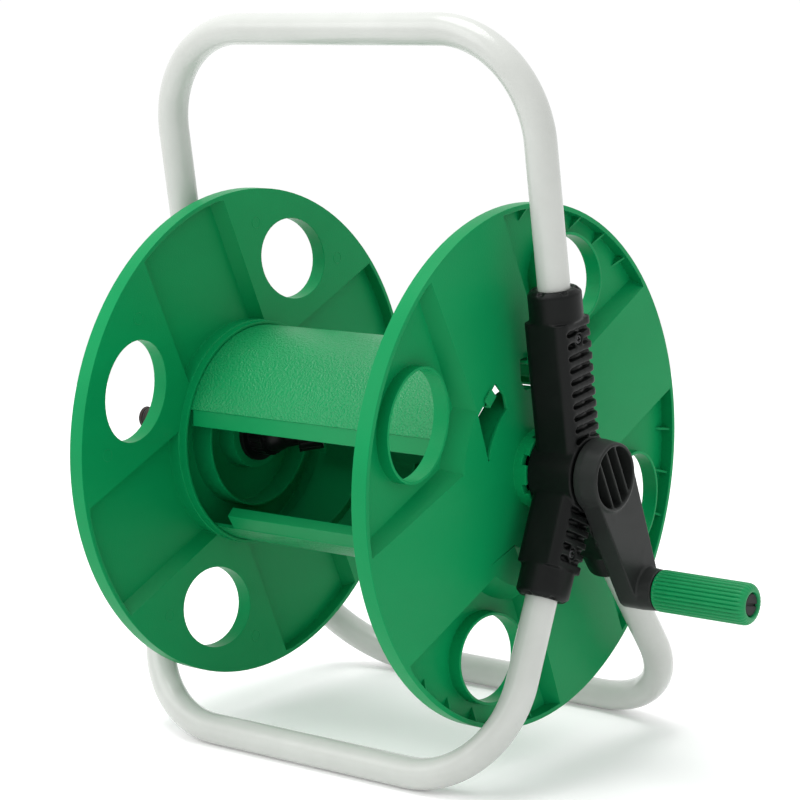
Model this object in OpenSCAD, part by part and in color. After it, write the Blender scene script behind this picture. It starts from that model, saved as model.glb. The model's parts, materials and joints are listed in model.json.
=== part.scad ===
// Portable garden hose reel: a green moulded reel between two black side brackets,
// which join a carrying handle and two floor legs of bent white steel tube.
// X runs along the reel's axle (crank side positive), Y to the back and Z up.
// The origin is on the floor, in the middle of the whole outline.

/* [Stand] */
// Height of the reel's axle above the floor
axle_h = 212; // [208:1:240]
// Outer diameter of the bent steel tube
tube_d = 22; // [20:0.5:24]
// Wall thickness of the steel tube
tube_wall = 1.5; // [1:0.1:2.5]
// Distance of each tube's arms from the middle of the reel
arm_x = 163.5; // [162:0.5:168]
// Bend radius of the tube's centre line
bend_r = 75; // [60:1:80]
// Height of the carry bar's centre line above the floor
carry_h = 509; // [480:1:540]
// Forward lean of the carrying handle in degrees
handle_lean = 7.9; // [4:0.1:12]
// Forward lean of the front leg in degrees
front_lean = 23.8; // [20:0.1:28]
// Backward lean of the rear leg in degrees
rear_lean = 35.6; // [32:0.1:38]

/* [Brackets] */
// Width of a bracket sleeve across the reel's axle direction
sleeve_w = 34; // [32:0.5:36]
// Depth of a bracket sleeve from front to back
sleeve_d = 36; // [34:0.5:38]
// Length of the handle's sleeve, from the axle
handle_sleeve_len = 107; // [100:1:115]
// Length of each leg's sleeve, from the axle
leg_sleeve_len = 67; // [62:1:72]
// Length of the round collar at the end of each sleeve
collar_len = 21; // [16:1:26]
// Outer diameter of the round collar
collar_d = 36.4; // [34:0.1:38]
// Radius of the bracket's round hub
hub_r = 26; // [24:0.5:28]
// Distance between the cooling slots along a sleeve
slot_pitch = 8.2; // [7:0.1:10]
// Height of one slot
slot_h = 3.8; // [2.5:0.1:4.5]

/* [Reel] */
// Diameter of the side flanges
flange_d = 360; // [340:1:370]
// Distance between the two flanges' inner faces
flange_gap = 240; // [230:1:246]
// Width of the flange's rim
rim_w = 12; // [10:0.5:13]
// Thickness of the moulded sheet
sheet_t = 2.6; // [2:0.1:3.5]
// Width of the raised bands of the cross
band_w = 86; // [80:1:92]
// Radius at which the flange's holes sit
hole_r_pos = 133; // [128:1:137]
// Half length of a hole along the circle
hole_long = 36.5; // [30:0.5:38]
// Half width of a hole towards the axle
hole_short = 29.5; // [26:0.5:31]
// Angle of the first hole above the back in degrees
hole_phase = 69; // [60:1:80]
// Outer diameter of the drum
drum_d = 160; // [150:1:162]
// Arc of each drum shell in degrees
shell_arc = 126; // [110:1:140]
// Angle of the middle of the upper drum shell in degrees
shell_mid = 105; // [95:1:115]

/* [Crank] */
// Distance from the axle to the grip's centre line
crank_len = 93; // [80:1:100]
// Angle of the crank arm below the back in degrees
crank_angle = 64.5; // [0:0.5:90]
// Diameter of the crank's boss
boss_d = 50; // [46:1:54]
// Diameter of the turning grip
grip_d = 29; // [26:0.5:32]
// Length of the turning grip
grip_len = 71.5; // [65:0.5:95]
// Number of flutes round the grip
grip_flutes = 30; // [16:1:32]

/* [Water inlet] */
// Diameter of the inlet's push-on spigot
spigot_d = 16; // [15:0.1:17]
// Diameter of the water way through the inlet
water_d = 9; // [7:0.5:10]

/* [Hidden] */
$fn = 96;
eps = 0.01;             // tiny overlap that lets a cut pass through a face
running = 0.08;         // radial clearance of a turning fit
push_gap = 0.1;         // radial gap of a fixed push fit

white = [0.88, 0.9, 0.88];
green = [0.13, 0.6, 0.35];
black = [0.09, 0.09, 0.1];
brown = [0.16, 0.12, 0.11];
steel = [0.7, 0.71, 0.73];
seal = [0.05, 0.05, 0.05];

// Where the whole outline ends along X, and so where its middle lies
journal_r = 15;
flange_in = flange_gap / 2;
rim_out = flange_in + rim_w;
bracket_in = arm_x - sleeve_w / 2 - 0.5;
bracket_out = arm_x + sleeve_w / 2;
hub_face = bracket_out + 0.4;
crank_back = bracket_out + 2;
boss_out = crank_back + 17.5;
grip_start = boss_out + 10;
grip_end = grip_start + grip_len;
connector_start = bracket_out + 5;
spigot_end = connector_start + 48.5;
middle_x = (grip_end - spigot_end) / 2;

// Legs: each branch runs from the axle to its cross bar
bar_drop = axle_h - tube_d / 2;
front_reach = bar_drop / cos(front_lean);
rear_reach = bar_drop / cos(rear_lean);
handle_reach = (carry_h - axle_h) / cos(handle_lean);
tube_start = 25;
socket_r = tube_d / 2 + push_gap;

// Flange levels, measured outwards from the reel's middle
panel_out = flange_in + sheet_t;
disc_r = 82;
disc_out = rim_out + 3.3;
rim_in_r = flange_d / 2 - 3.5;
wall_slope = 0.62;      // sideways run of a sloped wall for each unit of depth
drum_r = drum_d / 2;
drum_collar_in = flange_in - 6;
ring_r = 55;
hub_ring_r = 27;
hub_ring_out = bracket_in - 0.6;
hub_in = flange_in - 2;
key_w = 5;
strip_arc = 8.5;        // arc of the folded strip along a shell's edge
strip_fold = 3.4;       // how far a strip's edge lies inside the drum's surface
strip_notch = 14;       // free length at each end of a shell's first strip

// ---------------------------------------------------------------- helpers

// Puts a piece drawn about the axle into the part's own frame
module placed() translate([-middle_x, 0, axle_h]) children();

// Draws a piece of the inlet side, which is laid out outwards like the crank side
module inlet_side() placed() mirror([1, 0, 0]) children();

// Round bar along X
module bar_x(x0, x1, r) translate([x0, 0, 0]) rotate([0, 90, 0]) cylinder(h = x1 - x0, r = r);

// Round tube along X
module tube_x(x0, x1, r_out, r_in) {
    difference() {
        bar_x(x0, x1, r_out);
        bar_x(x0 - 1, x1 + 1, r_in);
    }
}

// Solid of revolution about X; each outline point is [radius, x]
module turned_x(outline) rotate([0, 90, 0]) rotate_extrude() polygon(outline);

// Turns children about the axle; 0 points to the back and 90 points up
module at_angle(a) rotate([a, 0, 0]) children();

// Extrudes a flat shape drawn as [y, z] along X
module extrude_x(x0, x1) translate([x0, 0, 0]) rotate([90, 0, 90]) linear_extrude(x1 - x0) children();

// Rectangle with round corners
module round_rect(w, h, r) {
    square([w - 2 * r, h], center = true);
    square([w, h - 2 * r], center = true);
    for (x = [-1, 1], y = [-1, 1]) translate([x * (w / 2 - r), y * (h / 2 - r)]) circle(r = r);
}

// Outline of an oval with half lengths a and b
module oval(a, b, steps = 48) {
    polygon([for (i = [0 : steps - 1]) [a * cos(i * 360 / steps), b * sin(i * 360 / steps)]]);
}

// ------------------------------------------------------------- steel tubes

module tube_section() {
    difference() {
        circle(d = tube_d);
        circle(d = tube_d - 2 * tube_wall);
    }
}

// Bent tube with two parallel arms and a cross bar at the given reach
module bent_tube(reach) {
    straight_x = arm_x - bend_r;
    for (side = [-1, 1]) translate([side * arm_x, 0, tube_start])
        linear_extrude(reach - bend_r - tube_start) tube_section();
    for (flip = [0, 1]) mirror([flip, 0, 0]) translate([straight_x, 0, reach - bend_r])
        rotate([90, 0, 0]) rotate_extrude(angle = 90) translate([bend_r, 0]) tube_section();
    translate([-straight_x, 0, reach]) rotate([0, 90, 0])
        linear_extrude(2 * straight_x) tube_section();
}

module screw_holes(along) {
    for (side = [-1, 1]) translate([side * (arm_x + tube_d / 2), 0, along])
        rotate([0, 90, 0]) cylinder(h = 8, r = 2.2, center = true);
}

module handle_tube() color(white) placed() rotate([handle_lean, 0, 0]) difference() {
    bent_tube(handle_reach);
    screw_holes(handle_screw);
}

module front_leg_tube() color(white) placed() rotate([180 - front_lean, 0, 0]) difference() {
    bent_tube(front_reach);
    screw_holes(leg_screw);
}

module rear_leg_tube() color(white) placed() rotate([180 + rear_lean, 0, 0]) difference() {
    bent_tube(rear_reach);
    screw_holes(leg_screw);
}

// --------------------------------------------------------------- brackets

handle_screw = handle_sleeve_len - 13;
leg_screw = leg_sleeve_len - 12;
slot_first = 5.5;
sleeve_start = 14;

// Sleeve and collar round one tube, without its socket
module sleeve(len, slimmer) {
    translate([arm_x, 0, sleeve_start]) linear_extrude(len - sleeve_start)
        round_rect(sleeve_w - slimmer, sleeve_d, 7);
    translate([arm_x, 0, len - eps]) rotate_extrude() polygon([
        [0, 0], [collar_d / 2, 0], [collar_d / 2, collar_len - 3],
        [collar_d / 2 - 3, collar_len], [0, collar_len]]);
}

// Slots in the outer face of a sleeve, open on one side and round at their other ends
module sleeve_slots(len, smooth, screw_at, deeper, count) {
    depth = 5.6 + deeper;
    difference() {
        for (i = [0 : count - 1])
            translate([bracket_out - depth, 0, len - slot_first - i * slot_pitch]) {
                translate([0, smooth > 0 ? -sleeve_d : -sleeve_d / 2 + 7, -slot_h])
                    cube([10, 1.5 * sleeve_d - 7, slot_h]);
                translate([0, smooth * (sleeve_d / 2 - 7), -slot_h / 2]) rotate([0, 90, 0])
                    cylinder(h = 10, r = slot_h / 2);
            }
        translate([arm_x, 0, -1]) cylinder(h = len + 2, r = tube_d / 2 + 2.3);
        translate([bracket_out - 20, 0, screw_at]) rotate([0, 90, 0]) cylinder(h = 30, r = 5);
    }
}

module sleeve_socket(len, screw_at) {
    translate([arm_x, 0, tube_start - 1]) cylinder(h = len + collar_len, r = socket_r);
    translate([arm_x, 0, screw_at]) rotate([0, 90, 0]) cylinder(h = sleeve_w, r = 1.9);
    translate([bracket_out - 3, 0, screw_at]) rotate([0, 90, 0]) cylinder(h = 9, r = 3.7);
    for (a = [30 : 60 : 330]) translate([arm_x, 0, len + collar_len - 2]) rotate([0, 0, a])
        translate([collar_d / 2 - 4.6, -2, 0]) cube([6, 4, 4]);
}

// Branches of a bracket: [turn about X, length, smooth side, screw position, slimmer by, slots]
branches = [
    [handle_lean, handle_sleeve_len, -1, handle_screw, 0, 11],
    [180 - front_lean, leg_sleeve_len, 1, leg_screw, 0.4, 6],
    [180 + rear_lean, leg_sleeve_len, -1, leg_screw, 0.8, 2]];

module bracket() {
    difference() {
        union() {
            bar_x(bracket_in, hub_face, hub_r);
            difference() {
                for (b = branches) rotate([b[0], 0, 0]) sleeve(b[1], b[4]);
                for (b = branches) rotate([b[0], 0, 0])
                    sleeve_slots(b[1], b[2], b[3], b[4], b[5]);
            }
        }
        for (b = branches) rotate([b[0], 0, 0]) sleeve_socket(b[1], b[3]);
        bar_x(bracket_in - 1, bracket_out + 1, journal_r + running);
    }
}

module crank_side_bracket() color(black) placed() bracket();

module inlet_side_bracket() color(black) inlet_side() difference() {
    bracket();
    for (a = spindle_screw_angles) at_angle(a) translate([bracket_out - 7, 20.5, 0])
        rotate([0, 90, 0]) cylinder(h = 10, r = 1.3);
}

// Pan head screw along +X, its seat at the origin
module pan_screw(head_r, head_h, shank_r, len) {
    difference() {
        union() {
            cylinder(h = head_h * 0.6, r = head_r);
            translate([0, 0, head_h * 0.6]) cylinder(h = head_h * 0.4, r1 = head_r, r2 = head_r * 0.72);
            translate([0, 0, -len]) cylinder(h = len + eps, r = shank_r);
        }
        for (a = [0, 90]) rotate([0, 0, a]) translate([0, 0, head_h])
            cube([head_r * 1.1, head_r * 0.3, head_h], center = true);
    }
}

module side_tube_screws() {
    for (b = branches) rotate([b[0], 0, 0]) translate([bracket_out - 3, 0, b[3]])
        rotate([0, 90, 0]) pan_screw(3.5, 2.4, 1.85, 6);
}

module tube_screws() color(steel) {
    placed() side_tube_screws();
    inlet_side() side_tube_screws();
}

// ----------------------------------------------------------------- flanges

// Two crossed bars along the bands, with sloped sides; half_w is their half width at level_out
module crossed_bands(half_w, level_out, level_in) {
    length = flange_d + 20;
    run = (level_out - level_in) * wall_slope;
    for (a = [45, 135]) at_angle(hole_phase + a) translate([0, -length / 2, 0])
        rotate([-90, 0, 0]) linear_extrude(length)
            polygon([[level_out, -half_w], [level_out, half_w],
                     [level_in, half_w + run], [level_in, -half_w - run]]);
}

// Pocket pressed into the outer side over each panel with a hole
module outer_pockets() {
    difference() {
        turned_x([[0, panel_out], [rim_in_r, panel_out], [rim_in_r, disc_out + 5], [0, disc_out + 5]]);
        crossed_bands(band_w / 2 - (disc_out + 6 - rim_out) * wall_slope, disc_out + 6, panel_out - 1);
        turned_x([[0, panel_out - 1], [disc_r + 11, panel_out - 1], [disc_r, disc_out],
                  [disc_r, disc_out + 6], [0, disc_out + 6]]);
    }
}

// Hollow under the cross of bands, open to the inner side
module inner_hollow() {
    intersection() {
        difference() {
            crossed_bands(band_w / 2 - 3.2, rim_out - sheet_t, flange_in - 1);
            bar_x(flange_in - 2, disc_out, drum_r + 3.4);
        }
        turned_x([[0, flange_in - 1], [rim_in_r, flange_in - 1],
                  [rim_in_r, rim_out - sheet_t], [disc_r, disc_out - sheet_t], [0, disc_out - sheet_t]]);
    }
}

module hole_shape(grow, x0, x1) {
    for (i = [0 : 3]) at_angle(hole_phase + 90 * i) extrude_x(x0, x1)
        translate([hole_r_pos, 0]) oval(hole_short + grow, hole_long + grow);
}

// Outline of a latch window as [radius, angle from its band's middle], its inner side an arc
window_outline = concat([[65, 9], [78.5, 11], [79, 31]], [for (a = [52 : -8 : 12]) [56, a]]);

// Windows either side of a band, where the drum shells latch into the disc
module latch_windows() {
    for (turn = [0, 180], side = [-1, 1]) at_angle(hole_phase + 45 + turn)
        extrude_x(disc_out - 6, disc_out + 2)
            polygon([for (p = window_outline) [p[0] * cos(side * p[1]), p[0] * sin(side * p[1])]]);
}

// Small ribs that stiffen the rim above each panel
module rim_gussets() {
    for (i = [0 : 3], g = [-2 : 2]) at_angle(hole_phase + 90 * i + g * 10.4)
        translate([0, 0, -0.8]) linear_extrude(1.6)
            polygon([[panel_out - 1, rim_in_r - 9], [panel_out, rim_in_r - 9],
                     [rim_out - 2, rim_in_r + 1], [panel_out - 1, rim_in_r + 1]]);
}

module drive_keys() {
    for (a = [0 : 90 : 270]) at_angle(a) translate([flange_in + 2, journal_r - 2.5, -key_w / 2])
        cube([12, 6, key_w]);
}

// One flange, laid out outwards along +X; the crank's one has a web in its hub and latch windows
module flange(web) {
    difference() {
        union() {
            difference() {
                turned_x([[0, flange_in], [flange_d / 2, flange_in], [flange_d / 2, rim_out],
                          [rim_in_r, rim_out], [disc_r, disc_out], [0, disc_out]]);
                outer_pockets();
                inner_hollow();
                bar_x(flange_in - 1, disc_out - sheet_t, drum_r + 0.2);
                hole_shape(0, flange_in - 1, rim_out);
                if (web) latch_windows();
            }
            difference() {
                hole_shape(2.2, flange_in, rim_out);
                hole_shape(0, flange_in - 1, rim_out + 1);
            }
            rim_gussets();
            tube_x(drum_collar_in, disc_out - sheet_t / 2, drum_r + 2.6, drum_r + 0.2);
            tube_x(drum_collar_in + 1, disc_out - sheet_t / 2, ring_r, ring_r - 2);
            bar_x(hub_in, disc_out, hub_ring_r);
            tube_x(disc_out - eps, hub_ring_out, hub_ring_r, hub_ring_r - 5);
        }
        if (web) bar_x(hub_in - 1, flange_in + 3, 3.4);
        bar_x(web ? flange_in + 2 : hub_in - 1, hub_ring_out + 1, journal_r + push_gap);
        for (a = [22.5 : 45 : 360]) at_angle(a) translate([hub_ring_out - 4, 20, -3.5]) cube([6, 12, 7]);
    }
    intersection() {
        drive_keys();
        bar_x(flange_in, disc_out, hub_ring_r - 1);
    }
}

module crank_side_flange() color(green) placed() flange(true);

module inlet_side_flange() color(green) inlet_side() flange(false);

// -------------------------------------------------------------------- drum

// Strip along a window's edge, folded in from the drum, with a lip that returns inwards
module folded_strip(half_len) {
    root = strip_arc + 1;
    inner_r = drum_r - sheet_t;
    edge_r = drum_r - strip_fold;
    translate([0, 0, -half_len]) linear_extrude(2 * half_len) polygon([
        [(drum_r - 0.05) * cos(root), (drum_r - 0.05) * sin(root)],
        [edge_r, 0.3], [edge_r - 8, 0.3], [edge_r - 8, sheet_t + 0.3], [edge_r - sheet_t, sheet_t + 0.3],
        [(inner_r + 0.05) * cos(root), (inner_r + 0.05) * sin(root)]]);
}

// One drum shell, with folded strips along its edges and ribs inside it
module drum_shell(mid) {
    plug = flange_in + 1;
    from = mid - shell_arc / 2;
    full = drum_collar_in - 1;
    placed() at_angle(from) rotate([90, 0, 90]) {
        rotate([0, 0, strip_arc]) rotate_extrude(angle = shell_arc - 2 * strip_arc) {
            translate([drum_r - sheet_t, -plug]) square([sheet_t, 2 * plug]);
            for (x = [-72, -24, 24, 72]) translate([drum_r - 8, x - 1]) square([7, 2]);
        }
        folded_strip(full - strip_notch);
        rotate([0, 0, shell_arc]) mirror([0, 1, 0]) folded_strip(full);
    }
    placed() for (a = [-20, 20]) at_angle(mid + 9 + a) shell_latch(plug);
}

// Latch at a shell's crank end: it reaches through a window of the flange's disc
module shell_latch(plug) {
    translate([plug - 4, drum_r - 6.8, -5]) cube([disc_out - plug + 6, 2.4, 10]);
    translate([plug - 4, drum_r - 6.8, -5]) cube([3.4, 5, 10]);
    translate([disc_out + 0.4, drum_r - 4.6, -5]) cube([1.6, 5.4, 10]);
}

module upper_drum_shell() color(green) drum_shell(shell_mid);

module lower_drum_shell() color(green) drum_shell(shell_mid + 180);

// ------------------------------------------------------------------- crank

boss_r = boss_d / 2;
arm_end_r = 15;
arm_face_end = boss_out - 1.2;
shaft_end = flange_in + 3;

// Moves children to the grip's centre line
module at_grip() at_angle(-crank_angle) translate([0, crank_len, 0]) children();

// Outline of the arm from above, tangent to the boss and to the round end
module arm_outline() {
    lean = asin((boss_r - 2 - arm_end_r) / crank_len);
    big = boss_r - 2;
    polygon([
        [big * sin(lean), big * cos(lean)], [big * sin(lean), -big * cos(lean)],
        [crank_len + arm_end_r * sin(lean), -arm_end_r * cos(lean)],
        [crank_len + arm_end_r * sin(lean), arm_end_r * cos(lean)]]);
    translate([crank_len, 0]) circle(r = arm_end_r);
}

module crank_arm() color(black) placed() difference() {
    union() {
        turned_x([[0, crank_back], [boss_r, crank_back], [boss_r, crank_back + 5],
                  [boss_r - 1.5, boss_out - 0.8], [boss_r - 2.3, boss_out], [0, boss_out]]);
        bar_x(shaft_end, crank_back + 1, journal_r);
        at_angle(-crank_angle) extrude_x(crank_back + 0.5, arm_face_end) arm_outline();
        at_grip() turned_x([
            [0, arm_face_end - 1], [arm_end_r, arm_face_end - 1], [arm_end_r, arm_face_end],
            [arm_end_r - 0.8, grip_start - 0.6], [0, grip_start - 0.6]]);
    }
    difference() {
        bar_x(crank_back + 4, boss_out + 1, boss_r - 4);
        for (i = [-1 : 1]) at_angle(-crank_angle) translate([crank_back, -boss_r, i * 9.6 - 0.8])
            cube([boss_out - crank_back - 1.2, 2 * boss_r, 1.6]);
    }
    bar_x(flange_in + 22, crank_back + 4.5, journal_r - 4);
    bar_x(shaft_end - 1, flange_in + 23, 2.4);
    for (a = [0 : 90 : 270]) at_angle(a) translate([shaft_end - 1, journal_r - 2.8, -key_w / 2 - 0.2])
        cube([flange_in + 17 - shaft_end, 6, key_w + 0.4]);
    at_grip() bar_x(crank_back - 1, grip_start, 5 + push_gap);
    at_grip() bar_x(crank_back - 1, crank_back + 3, 8);
}

module crank_fixing_screw() color(steel) placed() translate([hub_in - 1.6, 0, 0])
    rotate([0, -90, 0]) pan_screw(5.5, 3.6, 2.3, 22);

module crank_washer() color(steel) placed() tube_x(hub_in - 1.6, hub_in, 9, 2.8);

// Pin that the grip turns on, with a slotted head at its outer end
module grip_pin() color(black) placed() at_grip() difference() {
    head = grip_end - 5;
    union() {
        bar_x(crank_back + 0.4, head, 5);
        bar_x(crank_back + 0.4, crank_back + 2.9, 7.6);
        turned_x([[0, head - eps], [8, head - eps], [8, head + 3], [7.2, head + 4], [0, head + 4]]);
    }
    at_angle(50) translate([grip_end - 2.6, -9, -0.9]) cube([3, 18, 1.8]);
}

module crank_grip() color(green) placed() at_grip() difference() {
    grip_r = grip_d / 2;
    turned_x([[0, grip_start], [grip_r - 1.2, grip_start], [grip_r, grip_start + 1.2],
              [grip_r, grip_end - 4], [grip_r - 1, grip_end - 1.5],
              [grip_r - 3, grip_end], [0, grip_end]]);
    for (i = [0 : grip_flutes - 1]) at_angle(i * 360 / grip_flutes) translate([0, grip_r + 0.35, 0])
        bar_x(grip_start - 1, grip_end - 5, 1.15);
    bar_x(grip_start - 1, grip_end + 1, 5 + running);
    bar_x(grip_end - 5.4, grip_end + 1, 8.4);
}

// ------------------------------------------------------------ water inlet

spindle_r = 9;
spindle_screw_angles = [90, 210, 330];
spindle_in = flange_in - 16;
o_ring_at = [flange_in - 10, flange_in + 2];
thread_r = 10.4;

// Hollow spindle fixed to the inlet bracket; the elbow's sleeve turns on it
module inlet_spindle() color(black) inlet_side() difference() {
    union() {
        bar_x(spindle_in, hub_face + 1, spindle_r);
        bar_x(hub_face, hub_face + 3.6, 24);
        bar_x(hub_face + 1, bracket_out + 15, thread_r);
    }
    bar_x(spindle_in - 1, bracket_out + 16, water_d / 2);
    for (x = o_ring_at) tube_x(x, x + 3, spindle_r + 1, spindle_r - 2);
    for (a = spindle_screw_angles) at_angle(a) translate([0, 20.5, 0])
        bar_x(bracket_out - 1, bracket_out + 5, 1.6);
}

module spindle_screws() color(steel) inlet_side() for (a = spindle_screw_angles) at_angle(a)
    translate([hub_face + 3.6, 20.5, 0]) rotate([0, 90, 0]) pan_screw(3, 1.9, 1.25, 10);

// Two ring seals that sit in the spindle's grooves
module spindle_o_rings() color(seal) inlet_side() for (x = o_ring_at)
    translate([x + 1.5, 0, 0]) rotate([0, 90, 0])
        rotate_extrude() translate([spindle_r - 1, 0]) circle(r = 0.95);

// Screwed adaptor with a push-on spigot for a hose connector
module inlet_connector() color(brown) inlet_side() difference() {
    union() {
        bar_x(connector_start, connector_start + 16, 14);
        turned_x([[0, connector_start + 16 - eps], [14, connector_start + 16 - eps],
                  [9, connector_start + 19], [7, connector_start + 19], [7, connector_start + 27],
                  [8.7, connector_start + 28.5], [8.7, connector_start + 31], [0, connector_start + 31]]);
        bar_x(connector_start + 31 - eps, spigot_end - 1.5, spigot_d / 2);
        turned_x([[0, spigot_end - 1.5 - eps], [spigot_d / 2, spigot_end - 1.5 - eps],
                  [spigot_d / 2 - 1.5, spigot_end], [0, spigot_end]]);
    }
    bar_x(connector_start - 1, connector_start + 11, thread_r + push_gap);
    bar_x(connector_start, spigot_end + 1, water_d / 2);
    tube_x(spigot_end - 6.5, spigot_end - 4, 10, 6.2);
    for (i = [0 : 17]) at_angle(i * 20) translate([0, 14.6, 0])
        bar_x(connector_start + 2, connector_start + 14, 1.1);
}

module connector_washer() color(seal) inlet_side()
    tube_x(bracket_out + 15, connector_start + 11, thread_r - 0.4, 5.5);

module connector_o_ring() color(seal) inlet_side() translate([spigot_end - 5.25, 0, 0])
    rotate([0, 90, 0]) rotate_extrude() translate([7.1, 0]) circle(r = 0.85);

// ------------------------------------------------ water way inside the drum

sleeve_end = bracket_out - 3;
elbow_corner = flange_in - 20;
outlet_turn = 12;
outlet_tilt = 48;

// Moves children to the elbow's corner, with +Z along its outlet
module at_elbow() translate([elbow_corner, 0, 0]) at_angle(outlet_turn)
    rotate([0, 0, outlet_tilt]) rotate([-90, 0, 0]) children();

// Elbow that turns with the reel: its sleeve is the inlet side's journal
module drum_elbow() color(black) inlet_side() difference() {
    union() {
        bar_x(hub_in - 4, sleeve_end, journal_r);
        bar_x(hub_in - 4, hub_in, 21);
        bar_x(elbow_corner, hub_in - 3, 13);
        bar_x(elbow_corner + 2, hub_in - 3, 16);
        translate([elbow_corner, 0, 0]) sphere(r = 13);
        at_elbow() cylinder(h = 24, r = 11);
    }
    bar_x(spindle_in - 1.5, sleeve_end + 1, spindle_r + running);
    bar_x(elbow_corner, spindle_in, 6);
    at_elbow() cylinder(h = 30, r = 5);
    for (i = [0 : 17]) at_angle(i * 20) translate([0, 16.6, 0])
        bar_x(elbow_corner + 1, hub_in - 5, 1.2);
    tube_x(disc_out + 0.3, disc_out + 2, journal_r + 1, journal_r - 1.2);
    for (a = [0 : 90 : 270]) at_angle(a) translate([flange_in - 1, journal_r - 2.8, -key_w / 2 - 0.2])
        cube([sleeve_end - flange_in + 2, 6, key_w + 0.4]);
}

// Split ring that holds the elbow in the flange's hub
module elbow_clip() color(steel) inlet_side() difference() {
    tube_x(disc_out + 0.5, disc_out + 1.8, 20, journal_r - 1);
    translate([disc_out, 0, -4]) cube([4, 30, 8]);
}

// Places children on the end of the elbow's outlet, along +Z
module at_outlet() inlet_side() at_elbow() translate([0, 0, 24]) children();

// Ribbed tail that the reel's hose is pushed on
module hose_tail() color(black) at_outlet() difference() {
    union() {
        translate([0, 0, 1.6]) cylinder(h = 3, r = 11);
        translate([0, 0, 4.5]) cylinder(h = 24, r = 5.6);
        for (i = [0 : 3]) translate([0, 0, 12 + i * 4]) cylinder(h = 3.6, r1 = 6.9, r2 = 5.6);
    }
    cylinder(h = 40, r = 3.8);
}

// Nut that clamps the hose tail on the elbow
module hose_nut() color(black) at_outlet() difference() {
    translate([0, 0, -9]) cylinder(h = 18, r = 16);
    translate([0, 0, -10]) cylinder(h = 14.6, r = 11 + push_gap);
    cylinder(h = 20, r = 7.4);
    for (i = [0 : 17]) rotate([0, 0, i * 20]) translate([16.4, 0, -7.5]) cylinder(h = 15, r = 1);
}

module hose_tail_washer() color(seal) at_outlet() difference() {
    cylinder(h = 1.6, r = 10.6);
    translate([0, 0, -1]) cylinder(h = 4, r = 5.2);
}

handle_tube();
front_leg_tube();
rear_leg_tube();
crank_side_bracket();
inlet_side_bracket();
tube_screws();
crank_side_flange();
inlet_side_flange();
upper_drum_shell();
lower_drum_shell();
crank_arm();
crank_fixing_screw();
crank_washer();
grip_pin();
crank_grip();
inlet_spindle();
spindle_screws();
spindle_o_rings();
inlet_connector();
connector_washer();
connector_o_ring();
drum_elbow();
elbow_clip();
hose_tail();
hose_nut();
hose_tail_washer();
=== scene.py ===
"""Garden hose reel on a bent-tube stand: the looks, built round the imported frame.

Everything is in metres in the frame's own axes: X along the axle towards the crank, Y to the
back and Z up. Pieces that keep their CAD shape get rounded edges; the tubes and the grip are
drawn again, with more detail. Every surface has a material made of nodes.
"""

import json
import math

import bmesh
import bpy
from mathutils import Matrix, Vector


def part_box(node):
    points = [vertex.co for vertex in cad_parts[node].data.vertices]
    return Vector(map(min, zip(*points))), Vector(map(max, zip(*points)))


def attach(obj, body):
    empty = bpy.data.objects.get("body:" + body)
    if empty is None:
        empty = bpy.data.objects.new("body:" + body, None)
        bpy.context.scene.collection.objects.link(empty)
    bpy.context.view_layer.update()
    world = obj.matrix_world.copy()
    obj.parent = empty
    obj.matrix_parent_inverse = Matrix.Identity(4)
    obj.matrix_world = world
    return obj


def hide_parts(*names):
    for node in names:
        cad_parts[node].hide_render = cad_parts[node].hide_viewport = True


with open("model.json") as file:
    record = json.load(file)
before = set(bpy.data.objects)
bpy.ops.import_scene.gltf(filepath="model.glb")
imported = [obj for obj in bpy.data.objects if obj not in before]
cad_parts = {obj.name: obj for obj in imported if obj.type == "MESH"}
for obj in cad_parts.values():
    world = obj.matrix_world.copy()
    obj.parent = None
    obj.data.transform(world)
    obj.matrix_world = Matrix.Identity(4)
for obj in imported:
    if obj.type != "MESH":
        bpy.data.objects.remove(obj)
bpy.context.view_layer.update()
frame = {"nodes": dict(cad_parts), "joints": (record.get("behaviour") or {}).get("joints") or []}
nodes = frame["nodes"]
reel_spin = frame["joints"][0]
AXLE = Vector(reel_spin["pos_m"])
MM = 0.001


def middle_of_reel():
    """The point on the axle half way between the two flanges."""
    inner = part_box("inlet_side_flange")[0]
    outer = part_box("crank_side_flange")[1]
    return Vector(((inner.x + outer.x) / 2, AXLE.y, AXLE.z))


AXLE_MID = middle_of_reel()


# ------------------------------------------------------------------ camera

CAMERA_FROM_REEL = Vector((1.1344, -1.3972, 0.3398))
AZIMUTH = math.radians(38.64)
ELEVATION = math.radians(9.64)
ROLL = math.radians(-1.12)
LENS_MM = 115.5
SENSOR_MM = 36


def add_camera():
    """The picture's view: a long lens from the right front, a little above the axle."""
    right = Vector((math.cos(AZIMUTH), math.sin(AZIMUTH), 0))
    back = Vector((math.sin(AZIMUTH) * math.cos(ELEVATION),
                   -math.cos(AZIMUTH) * math.cos(ELEVATION),
                   math.sin(ELEVATION)))
    up = back.cross(right)
    rolled_right = math.cos(ROLL) * right + math.sin(ROLL) * up
    rolled_up = math.cos(ROLL) * up - math.sin(ROLL) * right
    data = bpy.data.cameras.new("camera")
    data.lens = LENS_MM
    data.sensor_width = SENSOR_MM
    data.clip_start = 0.05
    data.clip_end = 50
    camera = bpy.data.objects.new("camera", data)
    turn = Matrix((rolled_right, rolled_up, back)).transposed().to_4x4()
    camera.matrix_world = Matrix.Translation(AXLE_MID + CAMERA_FROM_REEL) @ turn
    bpy.context.scene.collection.objects.link(camera)
    bpy.context.scene.camera = camera


# --------------------------------------------------------------- materials

CELL_SMOOTHNESS = 0.35
LEATHER_CELLS = 620     # these four count the features in a metre
PIT_CELLS = 950
GREEN_GRAIN = 1500
BLACK_GRAIN = 1900


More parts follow.
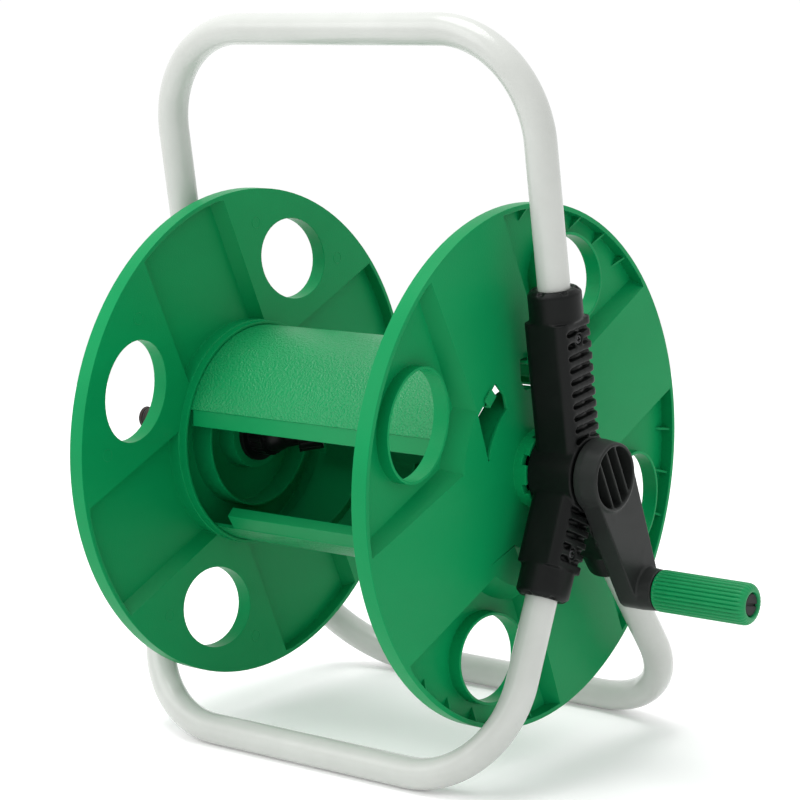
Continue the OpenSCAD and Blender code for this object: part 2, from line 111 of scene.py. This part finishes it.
class Paint:
    """One material's node tree, with short calls that add a node and link it."""

    def __init__(self, name, color, roughness, metallic=0.0):
        self.material = bpy.data.materials.new(name)
        self.material.use_nodes = True
        self.material.diffuse_color = (*color, 1)
        self.tree = self.material.node_tree
        self.shader = self.tree.nodes["Principled BSDF"]
        self.set("Base Color", (*color, 1))
        self.set("Roughness", roughness)
        self.set("Metallic", metallic)
        self.coords = self.add("ShaderNodeTexCoord").outputs["Object"]

    def add(self, kind, **values):
        """A new node, with the given settings."""
        node = self.tree.nodes.new(kind)
        for key, value in values.items():
            setattr(node, key, value)
        return node

    def set(self, socket, value):
        """Puts a plain value on one of the shader's own sockets."""
        self.shader.inputs[socket].default_value = value

    def link(self, source, target):
        self.tree.links.new(source, target)

    def stretched(self, scale):
        """Object coordinates multiplied by scale, to draw a pattern out along an axis."""
        mapping = self.add("ShaderNodeMapping")
        mapping.inputs["Scale"].default_value = scale
        self.link(self.coords, mapping.inputs["Vector"])
        return mapping.outputs["Vector"]

    def noise(self, scale, detail=3.0, rough=0.5, coords=None, distortion=0.0):
        """Cloudy noise, scale features to the metre."""
        node = self.add("ShaderNodeTexNoise")
        node.inputs["Scale"].default_value = scale
        node.inputs["Detail"].default_value = detail
        node.inputs["Roughness"].default_value = rough
        node.inputs["Distortion"].default_value = distortion
        self.link(coords or self.coords, node.inputs["Vector"])
        return node.outputs["Fac"]

    def cells(self, scale, coords=None):
        """Rounded cells, as in leather or pitted grain."""
        node = self.add("ShaderNodeTexVoronoi", feature="SMOOTH_F1")
        node.inputs["Scale"].default_value = scale
        node.inputs["Smoothness"].default_value = CELL_SMOOTHNESS
        self.link(coords or self.coords, node.inputs["Vector"])
        return node.outputs["Distance"]

    def spread(self, value, low_in, high_in, low_out, high_out):
        """Maps the range low_in to high_in on the range low_out to high_out."""
        node = self.add("ShaderNodeMapRange")
        node.inputs["From Min"].default_value = low_in
        node.inputs["From Max"].default_value = high_in
        node.inputs["To Min"].default_value = low_out
        node.inputs["To Max"].default_value = high_out
        self.link(value, node.inputs["Value"])
        return node.outputs["Result"]

    def blend(self, factor, first, second):
        """A mix of two colours, each a colour or another node's output."""
        node = self.add("ShaderNodeMix", data_type="RGBA")
        self.link(factor, node.inputs["Factor"])
        # Its inputs 6 and 7 and its output 2 are the ones for colours.
        for socket, value in ((node.inputs[6], first), (node.inputs[7], second)):
            if isinstance(value, tuple):
                socket.default_value = (*value, 1)
            else:
                self.link(value, socket)
        return node.outputs[2]

    def math(self, operation, first, second):
        """A sum or product of two values, each a number or another node's output."""
        node = self.add("ShaderNodeMath", operation=operation)
        for socket, value in zip(node.inputs[:2], (first, second)):
            if isinstance(value, (int, float)):
                socket.default_value = value
            else:
                self.link(value, socket)
        return node.outputs[0]

    def color(self, output):
        self.link(output, self.shader.inputs["Base Color"])

    def roughness(self, output):
        self.link(output, self.shader.inputs["Roughness"])

    def bump(self, *heights):
        """Raises the surface; each height is (output, strength, depth in metres)."""
        normal = None
        for output, strength, depth in heights:
            node = self.add("ShaderNodeBump")
            node.inputs["Strength"].default_value = strength
            node.inputs["Distance"].default_value = depth
            self.link(output, node.inputs["Height"])
            if normal:
                self.link(normal, node.inputs["Normal"])
            normal = node.outputs["Normal"]
        self.link(normal, self.shader.inputs["Normal"])


def scaled(color, factor):
    return tuple(part * factor for part in color)


def waved(paint, scale, reach):
    """Object coordinates pushed about by up to reach, so that a pattern looks less regular."""
    jitter = paint.add("ShaderNodeTexNoise")
    jitter.inputs["Scale"].default_value = scale
    paint.link(paint.coords, jitter.inputs["Vector"])
    small = paint.add("ShaderNodeVectorMath", operation="SCALE")
    small.inputs["Scale"].default_value = reach
    paint.link(jitter.outputs["Color"], small.inputs[0])
    wavy = paint.add("ShaderNodeVectorMath", operation="ADD")
    paint.link(paint.coords, wavy.inputs[0])
    paint.link(small.outputs["Vector"], wavy.inputs[1])
    return wavy.outputs["Vector"]


def green_plastic(name, grain, shine=0.1):
    """Polypropylene: satin green, with a moulded grain and faint flow marks and scuffs."""
    green = (0.0014, 0.225, 0.069)
    scuffed_green = (0.03, 0.3, 0.11)
    paint = Paint(name, green, 0.4)
    paint.set("Specular IOR Level", shine)
    flow = paint.noise(9, 4, 0.6, paint.stretched((1, 0.55, 1)), 0.8)
    tone = paint.spread(flow, 0.3, 0.7, 0, 1)
    body = paint.blend(tone, scaled(green, 0.93), scaled(green, 1.06))
    scuffs = paint.noise(60, 8, 0.72, paint.stretched((1, 1, 0.14)), 1.5)
    scuffed = paint.spread(scuffs, 0.64, 0.78, 0, 0.22)
    paint.color(paint.blend(scuffed, body, scuffed_green))
    fine = paint.noise(GREEN_GRAIN, 3, 0.6)
    paint.roughness(paint.math("ADD", paint.spread(fine, 0.3, 0.7, 0.33, 0.43),
                               paint.math("MULTIPLY", scuffed, 0.5)))
    sink = paint.noise(28, 2, 0.4)
    if grain == "leather":
        hide = paint.cells(LEATHER_CELLS, waved(paint, 260, 1.6 * MM))
        paint.bump((sink, 0.25, 0.0006), (hide, 1.0, 0.00055), (fine, 0.2, 0.00006))
    elif grain == "fine":
        pits = paint.cells(PIT_CELLS)
        paint.bump((sink, 0.3, 0.0007), (pits, 0.35, 0.00012), (fine, 0.25, 0.00006))
    else:
        paint.bump((sink, 0.3, 0.0007), (fine, 0.15, 0.00003))
    return paint.material


def black_plastic(name, color=(0.0028, 0.0036, 0.0034), rough=0.4):
    """Satin black moulding with fine spark grain, dust in the grain and light rubs."""
    dust_black = (0.012, 0.013, 0.0125)
    rubbed_black = (0.028, 0.03, 0.03)
    paint = Paint(name, color, rough)
    paint.set("Specular IOR Level", 0.16)
    dust = paint.noise(34, 6, 0.65, None, 0.6)
    dusty = paint.spread(dust, 0.48, 0.8, 0, 0.3)
    body = paint.blend(dusty, color, dust_black)
    rub = paint.noise(80, 7, 0.75, paint.stretched((0.2, 1, 1)), 1.2)
    rubbed = paint.spread(rub, 0.66, 0.8, 0, 0.4)
    paint.color(paint.blend(rubbed, body, rubbed_black))
    fine = paint.noise(BLACK_GRAIN, 3, 0.6)
    paint.roughness(paint.math("ADD", paint.spread(fine, 0.3, 0.7, rough - 0.06, rough + 0.06),
                               paint.math("MULTIPLY", dusty, 0.5)))
    paint.bump((paint.noise(45, 2, 0.4), 0.3, 0.0005), (fine, 0.3, 0.00007))
    return paint.material


def white_paint():
    """Gloss powder coat on steel: faint orange peel, a few rubs and hairline marks."""
    white = (0.5, 0.515, 0.49)
    dull_white = (0.46, 0.475, 0.45)
    marked_white = (0.52, 0.53, 0.51)
    paint = Paint("white_powder_coat", white, 0.22)
    paint.set("Specular IOR Level", 0.4)
    paint.set("Coat Weight", 0.12)
    paint.set("Coat Roughness", 0.12)
    cloud = paint.noise(22, 5, 0.6)
    body = paint.blend(paint.spread(cloud, 0.35, 0.7, 0, 1), white, dull_white)
    hair = paint.noise(240, 6, 0.8, paint.stretched((0.06, 1, 1)), 0.6)
    marks = paint.spread(hair, 0.7, 0.78, 0, 0.35)
    paint.color(paint.blend(marks, body, marked_white))
    peel = paint.noise(520, 2, 0.4)
    paint.roughness(paint.math("ADD", paint.spread(cloud, 0.35, 0.7, 0.19, 0.27), marks))
    paint.bump((peel, 0.12, 0.00012), (hair, 0.05, 0.00004))
    return paint.material


def plated_steel(name, bright, dark):
    """Plated steel with fine turning lines and a few dull spots."""
    paint = Paint(name, bright, 0.3, 1.0)
    spots = paint.noise(300, 5, 0.7)
    dull = paint.spread(spots, 0.5, 0.75, 0, 0.6)
    paint.color(paint.blend(dull, bright, dark))
    lines = paint.noise(2600, 2, 0.5, paint.stretched((1, 0.1, 0.1)))
    paint.roughness(paint.math("ADD", paint.spread(lines, 0.3, 0.7, 0.22, 0.36),
                               paint.math("MULTIPLY", dull, 0.3)))
    paint.bump((lines, 0.2, 0.00003))
    return paint.material


def seal_rubber():
    """Matt black rubber with a powdery bloom."""
    paint = Paint("seal_rubber", (0.013, 0.013, 0.013), 0.7)
    bloom = paint.noise(160, 5, 0.7)
    paint.color(paint.blend(paint.spread(bloom, 0.4, 0.8, 0, 0.5),
                            (0.012, 0.012, 0.012), (0.05, 0.05, 0.05)))
    paint.roughness(paint.spread(bloom, 0.3, 0.7, 0.6, 0.8))
    paint.bump((paint.noise(1400, 2, 0.5), 0.2, 0.00004))
    return paint.material


# ------------------------------------------------------------ mesh helpers

WELD = 1e-6
FLAT_DEG = 0.05         # neighbouring faces within this of each other count as one flat face
SHARP_DEG = 40          # creases sharper than this keep a crisp line between their faces
SQUARE_DEG = 70         # on sheet parts only the edges sharper than this are rounded


def join_rings(bm, rings, closed):
    """Faces between neighbouring rings of points, and from the last to the first if closed."""
    following = rings[1:] + rings[:1] if closed else rings[1:]
    for first, second in zip(rings, following):
        for i in range(len(first)):
            j = (i + 1) % len(first)
            bm.faces.new((first[i], first[j], second[j], second[i]))


def piece_from(bm, name, material, body, node_names):
    """Makes a bmesh into a named piece that rides on a body and stands for CAD nodes."""
    mesh = bpy.data.meshes.new(name)
    bm.to_mesh(mesh)
    bm.free()
    for stale in ("custom_normal", "sharp_edge", "sharp_face"):
        if stale in mesh.attributes:
            mesh.attributes.remove(mesh.attributes[stale])
    mesh.shade_smooth()
    piece = bpy.data.objects.new(name, mesh)
    bpy.context.scene.collection.objects.link(piece)
    materials = material if isinstance(material, list) else [material]
    mesh.materials.clear()
    for one in materials:
        mesh.materials.append(one)
    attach(piece, body)
    if node_names:
        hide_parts(*node_names)
    return piece


def cleaned(node):
    """A CAD node's mesh with its seams welded and its flat faces cut as simply as they can be."""
    bm = bmesh.new()
    bm.from_mesh(nodes[node].data)
    bmesh.ops.remove_doubles(bm, verts=bm.verts, dist=WELD)
    bmesh.ops.dissolve_limit(bm, angle_limit=math.radians(FLAT_DEG), verts=bm.verts,
                             edges=bm.edges, use_dissolve_boundaries=False)
    bmesh.ops.triangulate(bm, faces=bm.faces)
    for face in bm.faces:
        face.material_index = 0
    return bm


def rounded_edges(piece, width, angle):
    """Rounds the edges sharper than angle, and keeps the other creases as they are."""
    bevel = piece.modifiers.new("rounding", "BEVEL")
    bevel.width = width
    bevel.segments = 2
    bevel.limit_method = "ANGLE"
    bevel.angle_limit = math.radians(angle)
    bevel.use_clamp_overlap = False
    bevel.harden_normals = False
    bevel.miter_outer = "MITER_ARC"
    depsgraph = bpy.context.evaluated_depsgraph_get()
    rounded = bpy.data.meshes.new_from_object(piece.evaluated_get(depsgraph))
    square = piece.data
    piece.modifiers.clear()
    piece.data = rounded
    bpy.data.meshes.remove(square)
    rounded.name = piece.name
    rounded.set_sharp_from_angle(angle=math.radians(SHARP_DEG))
    weighted = piece.modifiers.new("normals", "WEIGHTED_NORMAL")
    weighted.keep_sharp = True
    weighted.weight = 60
    return piece


def moulded(node, material, body, width, angle=34):
    """A CAD node's own shape, with its edges over angle rounded by width."""
    piece = piece_from(cleaned(node), node + "_moulded", material, body, [node])
    return rounded_edges(piece, width, angle)


def refined(node, material, body, voxel):
    """A CAD node's shape with every edge blended, as a thick moulding has."""
    name = node + "_moulding"
    bm = bmesh.new()
    bm.from_mesh(nodes[node].data)
    bmesh.ops.remove_doubles(bm, verts=bm.verts, dist=WELD)
    mesh = bpy.data.meshes.new(name + "_raw")
    bm.to_mesh(mesh)
    bm.free()
    raw = bpy.data.objects.new(name + "_raw", mesh)
    bpy.context.scene.collection.objects.link(raw)
    remesh = raw.modifiers.new("remesh", "REMESH")
    remesh.mode = "VOXEL"
    remesh.voxel_size = voxel
    soft = raw.modifiers.new("soft", "SMOOTH")
    soft.factor = 0.5
    soft.iterations = 3
    depsgraph = bpy.context.evaluated_depsgraph_get()
    result = bmesh.new()
    result.from_mesh(raw.evaluated_get(depsgraph).to_mesh())
    bpy.data.objects.remove(raw)
    return piece_from(result, name, material, body, [node])


# -------------------------------------------------------------- drum shells

SHELL_HALF_DEG = 63     # from the middle of a shell to its window edge
LIP_DEG = 7.5           # smooth strip along each window edge
SHELL_SKIN = 1.5 * MM   # faces this near the outside belong to the outer wall
FACES_OUT = 0.8         # least cosine between such a face's direction and straight out


def across_axle(point):
    """A point's place in the plane square to the axle, measured from the axle."""
    return Vector((point.y - AXLE.y, point.z - AXLE.z))


def angle_between(first, second):
    """The angle between two directions in that plane, in degrees from 0 to 180."""
    turn = math.atan2(first.y, first.x) - math.atan2(second.y, second.x)
    return abs(math.degrees((turn + math.pi) % (2 * math.pi) - math.pi))


def drum_shell(node, grained, smooth):
    """A shell with leather grain outside, and smooth strips and inner faces."""
    piece = moulded(node, [grained, smooth], "reel", 0.45 * MM, SQUARE_DEG)
    places = [across_axle(vertex.co) for vertex in piece.data.vertices]
    outer = max(place.length for place in places)
    middle = sum(places, Vector((0, 0)))
    for face in piece.data.polygons:
        place = across_axle(face.center)
        faces_out = face.normal.yz.dot(place.normalized()) > FACES_OUT
        outside = faces_out and place.length > outer - SHELL_SKIN
        away_from_lip = angle_between(place, middle) < SHELL_HALF_DEG - LIP_DEG
        face.material_index = 0 if outside and away_from_lip else 1
    return piece


# ------------------------------------------------------------ moulding marks

COLLAR_LENGTH = 6 * MM  # how far a flange's drum collar stands in from its inner face
MARK_FROM_AXLE = 155 * MM
MARK_R = 4.2 * MM
MARK_WIDTH = 0.35 * MM
MARK_HEIGHT = 0.12 * MM
FIRST_MARK_DEG = 69     # the pairs of marks lie round this direction, and every 90 from it
MARK_SPLIT_DEG = 18.5


def add_ring(bm, place, radius, width, height):
    """A low raised ring about place's Z axis."""
    around = 32
    rings = []
    for r, z in ((radius - width, -height), (radius - width / 2, height),
                 (radius + width / 2, height), (radius + width, -height)):
        ring = []
        for i in range(around):
            a = 2 * math.pi * i / around
            ring.append(bm.verts.new(place @ Vector((r * math.cos(a), r * math.sin(a), z))))
        rings.append(ring)
    join_rings(bm, rings, True)


def ejector_marks(material):
    """Shallow round witness marks of the mould's ejector pins on the flanges' inner faces."""
    inlet_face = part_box("inlet_side_flange")[1].x - COLLAR_LENGTH
    crank_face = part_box("crank_side_flange")[0].x + COLLAR_LENGTH
    bm = bmesh.new()
    for face_x in (inlet_face, crank_face):
        for wedge in range(4):
            for split in (-MARK_SPLIT_DEG, MARK_SPLIT_DEG):
                a = math.radians(FIRST_MARK_DEG + 90 * wedge + split)
                across = MARK_FROM_AXLE * Vector((0, math.cos(a), math.sin(a)))
                centre = Vector((face_x, AXLE.y, AXLE.z)) + across
                mark = Matrix.Translation(centre) @ Matrix.Rotation(math.pi / 2, 4, "Y")
                add_ring(bm, mark, MARK_R, MARK_WIDTH, MARK_HEIGHT)
    return piece_from(bm, "ejector_marks", material, "reel", [])


# ------------------------------------------------------------- steel tubes

TUBE_R = 11 * MM
ARM_X = 163.5 * MM      # from the reel's middle to an arm's centre line
BEND_R = 75 * MM
ARM_START = 25 * MM     # from the axle to where an arm begins, inside its bracket
HANDLE_TOP = 0.509      # the handle bar's centre line above the floor
HANDLE_LEAN = 7.9       # degrees forward from straight up
FRONT_LEG_LEAN = 23.8   # degrees from straight down
REAR_LEG_LEAN = 35.6
OVAL = 0.035            # how much a bend flattens the tube


def u_path(reach, start):
    """Centre line of a bent tube in its own plane, as (point, tangent, bend share)."""
    straight_x = ARM_X - BEND_R
    bend_z = reach - BEND_R
    bend_centre = Vector((straight_x, 0, bend_z))
    inward = Vector((-1, 0, 0))
    half = []
    for i in range(9):
        half.append((Vector((ARM_X, 0, start + (bend_z - start) * i / 9)), Vector((0, 0, 1)), 0))
    for i in range(33):
        a = math.pi / 2 * i / 32
        out = Vector((math.cos(a), 0, math.sin(a)))
        along = Vector((-math.sin(a), 0, math.cos(a)))
        half.append((bend_centre + out * BEND_R, along, math.sin(2 * a)))
    for i in range(1, 6):
        half.append((Vector((straight_x * (1 - i / 6), 0, reach)), inward, 0))
    middle = [(Vector((0, 0, reach)), inward, 0)]
    other = [(Vector((-p.x, 0, p.z)), Vector((t.x, 0, -t.z)), b) for p, t, b in reversed(half)]
    return half + middle + other


def bent_tube(name, node, turn_deg, drop, material):
    """A bent tube, turned turn_deg from straight up, whose bar is drop above or below the axle."""
    reach = drop / abs(math.cos(math.radians(turn_deg)))
    turn = Matrix.Translation(AXLE_MID) @ Matrix.Rotation(math.radians(turn_deg), 4, "X")
    around = 64
    bm = bmesh.new()
    rings = []
    across = Vector((0, 1, 0))
    for point, tangent, bend in u_path(reach, ARM_START):
        side = tangent.cross(across)
        flat = TUBE_R * (1 - OVAL * bend)
        tall = TUBE_R * (1 + OVAL * bend)
        ring = []
        for i in range(around):
            a = 2 * math.pi * i / around
            where = point + side * flat * math.cos(a) + across * tall * math.sin(a)
            ring.append(bm.verts.new(turn @ where))
        rings.append(ring)
    join_rings(bm, rings, False)
    bm.faces.new(list(reversed(rings[0])))
    bm.faces.new(rings[-1])
    bmesh.ops.recalc_face_normals(bm, faces=bm.faces)
    return piece_from(bm, name, material, "stand", [node])


# -------------------------------------------------------------- crank grip

FLUTES = 30
FLUTE_DEPTH = 1.05 * MM
FLUTE_SHARPNESS = 2.6   # higher makes the grooves narrower and the lands wider
POINTS_PER_FLUTE = 10
GRIP_END_R = 5 * MM
GRIP_TAPER = 0.1 * MM
PIN_HEAD_R = 8.4 * MM   # recess for the pin's head in the grip's end
PIN_HEAD_DEPTH = 5.4 * MM
PIN_BORE_R = 5.1 * MM


def grip_profile(length, outer):
    """The grip's outline as (distance from the crank, radius, share of the flute depth)."""
    flutes_from = 3 * MM
    flutes_for = length - GRIP_END_R - 5 * MM
    profile = [(0.0, outer - 3 * MM, 0), (0.0, outer - 1.1 * MM, 0), (0.35 * MM, outer - 0.5 * MM, 0),
               (1.0 * MM, outer - 0.1 * MM, 0), (1.6 * MM, outer, 0.3), (flutes_from, outer, 1)]
    for i in range(1, 20):
        profile.append((flutes_from + flutes_for * i / 19, outer - GRIP_TAPER * i / 19, 1))
    for i in range(1, 13):
        a = math.pi / 2 * i / 12
        along = length - GRIP_END_R + GRIP_END_R * math.sin(a)
        radius = outer - GRIP_TAPER - GRIP_END_R + GRIP_END_R * math.cos(a)
        profile.append((along, radius, 1 - i / 12))
    profile.append((length - 0.15 * MM, PIN_HEAD_R + 0.4 * MM, 0))
    profile.append((length - 0.5 * MM, PIN_HEAD_R, 0))
    profile.append((length - PIN_HEAD_DEPTH, PIN_HEAD_R, 0))
    profile.append((length - PIN_HEAD_DEPTH, PIN_BORE_R, 0))
    profile.append((0.0, PIN_BORE_R, 0))
    return profile


def fluted_grip(material):
    """The turning grip: raised flutes, a plain band at the crank and a rounded end."""
    low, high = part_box("crank_grip")
    start = Vector((low.x, (low.y + high.y) / 2, (low.z + high.z) / 2))
    around = FLUTES * POINTS_PER_FLUTE
    bm = bmesh.new()
    rings = []
    for along, radius, groove in grip_profile(high.x - low.x, (high.y - low.y) / 2):
        ring = []
        for i in range(around):
            a = 2 * math.pi * i / around
            wave = 0.5 - 0.5 * math.cos(a * FLUTES)
            r = radius - FLUTE_DEPTH * groove * wave ** FLUTE_SHARPNESS
            ring.append(bm.verts.new(start + Vector((along, r * math.cos(a), r * math.sin(a)))))
        rings.append(ring)
    join_rings(bm, rings, True)
    bmesh.ops.recalc_face_normals(bm, faces=bm.faces)
    piece = piece_from(bm, "fluted_grip", material, "grip", ["crank_grip"])
    sharp = piece.modifiers.new("split", "EDGE_SPLIT")
    sharp.split_angle = math.radians(50)
    return piece


# ------------------------------------------------------------------- stage

FLOOR_R = 1.7
AIM = (0, 0, 0.25)      # the lights point at the middle of the object


def add_stage():
    """A plain pale floor that glows a little, to be as bright as the light tent round it."""
    mesh = bpy.data.meshes.new("floor")
    bm = bmesh.new()
    bmesh.ops.create_circle(bm, cap_ends=True, segments=96, radius=FLOOR_R)
    bm.to_mesh(mesh)
    bm.free()
    floor = bpy.data.objects.new("floor", mesh)
    bpy.context.scene.collection.objects.link(floor)
    paint = Paint("studio_floor", (0.9, 0.9, 0.9), 0.8)
    paint.set("Emission Color", (1, 1, 1, 1))
    paint.set("Emission Strength", 0.12)
    mesh.materials.append(paint.material)


def add_light(name, place, size, power):
    """A round soft box of size metres, aimed at the object."""
    data = bpy.data.lights.new(name, "AREA")
    data.shape = "DISK"
    data.size = size
    data.energy = power
    lamp = bpy.data.objects.new(name, data)
    lamp.location = place
    lamp.rotation_mode = "QUATERNION"
    lamp.rotation_quaternion = (Vector(place) - Vector(AIM)).to_track_quat("Z", "Y")
    bpy.context.scene.collection.objects.link(lamp)


def add_lights():
    """An even white light tent, with a soft box above and another at the front left."""
    world = bpy.data.worlds.new("studio")
    bpy.context.scene.world = world
    world.use_nodes = True
    sky = world.node_tree.nodes["Background"]
    sky.inputs["Color"].default_value = (1, 1, 1, 1)
    sky.inputs["Strength"].default_value = 1.02
    add_light("top_box", (-0.3, -0.2, 2.4), 1.6, 32)
    add_light("front_left_box", (-0.9, -1.8, 1.5), 1.7, 14)
    # The standard display transform keeps the white surroundings white.
    bpy.context.scene.view_settings.view_transform = "Standard"


# ------------------------------------------------------------------- build

def build_stand(white, black, brown, steel, dark_steel):
    """The three tubes, the two brackets and what is fixed to them."""
    bar_drop = AXLE.z - TUBE_R
    bent_tube("handle_bent_tube", "handle_tube", HANDLE_LEAN, HANDLE_TOP - AXLE.z, white)
    bent_tube("front_leg_bent_tube", "front_leg_tube", 180 - FRONT_LEG_LEAN, bar_drop, white)
    bent_tube("rear_leg_bent_tube", "rear_leg_tube", 180 + REAR_LEG_LEAN, bar_drop, white)
    for node in ("crank_side_bracket", "inlet_side_bracket"):
        refined(node, black, "stand", 0.8 * MM)
    moulded("inlet_spindle", black, "stand", 0.3 * MM)
    moulded("inlet_connector", brown, "stand", 0.35 * MM)
    moulded("tube_screws", dark_steel, "stand", 0.12 * MM)
    moulded("spindle_screws", steel, "stand", 0.15 * MM)


def build_reel(green_fine, green_hide, green_plain, black):
    """The flanges, the drum with its water fittings, and the crank's turning grip."""
    for node in ("crank_side_flange", "inlet_side_flange"):
        moulded(node, green_fine, "reel", 0.6 * MM, SQUARE_DEG)
    for node in ("upper_drum_shell", "lower_drum_shell"):
        drum_shell(node, green_hide, green_plain)
    ejector_marks(green_fine)
    fluted_grip(green_plain)
    for node in ("drum_elbow", "hose_nut", "hose_tail"):
        moulded(node, black, "reel", 0.35 * MM)
    moulded("grip_pin", black, "reel", 0.2 * MM)


def build():
    """Makes the materials and every piece."""
    green_fine = green_plastic("green_fine_grain", "fine")
    green_hide = green_plastic("green_leather_grain", "leather", 0.35)
    green_plain = green_plastic("green_smooth", "smooth", 0.25)
    black = black_plastic("black_moulding")
    worn_black = black_plastic("worn_black_moulding", (0.016, 0.018, 0.017), 0.4)
    brown = black_plastic("brown_black_moulding", (0.03, 0.02, 0.018), 0.42)
    white = white_paint()
    steel = plated_steel("zinc_steel", (0.6, 0.61, 0.62), (0.36, 0.36, 0.35))
    dark_steel = plated_steel("black_oxide_steel", (0.05, 0.05, 0.052), (0.025, 0.025, 0.024))
    rubber = seal_rubber()

    build_stand(white, black, brown, steel, dark_steel)
    build_reel(green_fine, green_hide, green_plain, black)
    refined("crank_arm", worn_black, "reel", 0.7 * MM)
    for node in ("crank_fixing_screw", "crank_washer", "elbow_clip"):
        moulded(node, steel, "reel", 0.15 * MM)
    for node in ("spindle_o_rings", "connector_washer", "connector_o_ring", "hose_tail_washer"):
        nodes[node].data.materials.clear()
        nodes[node].data.materials.append(rubber)


add_camera()
add_stage()
add_lights()
build()
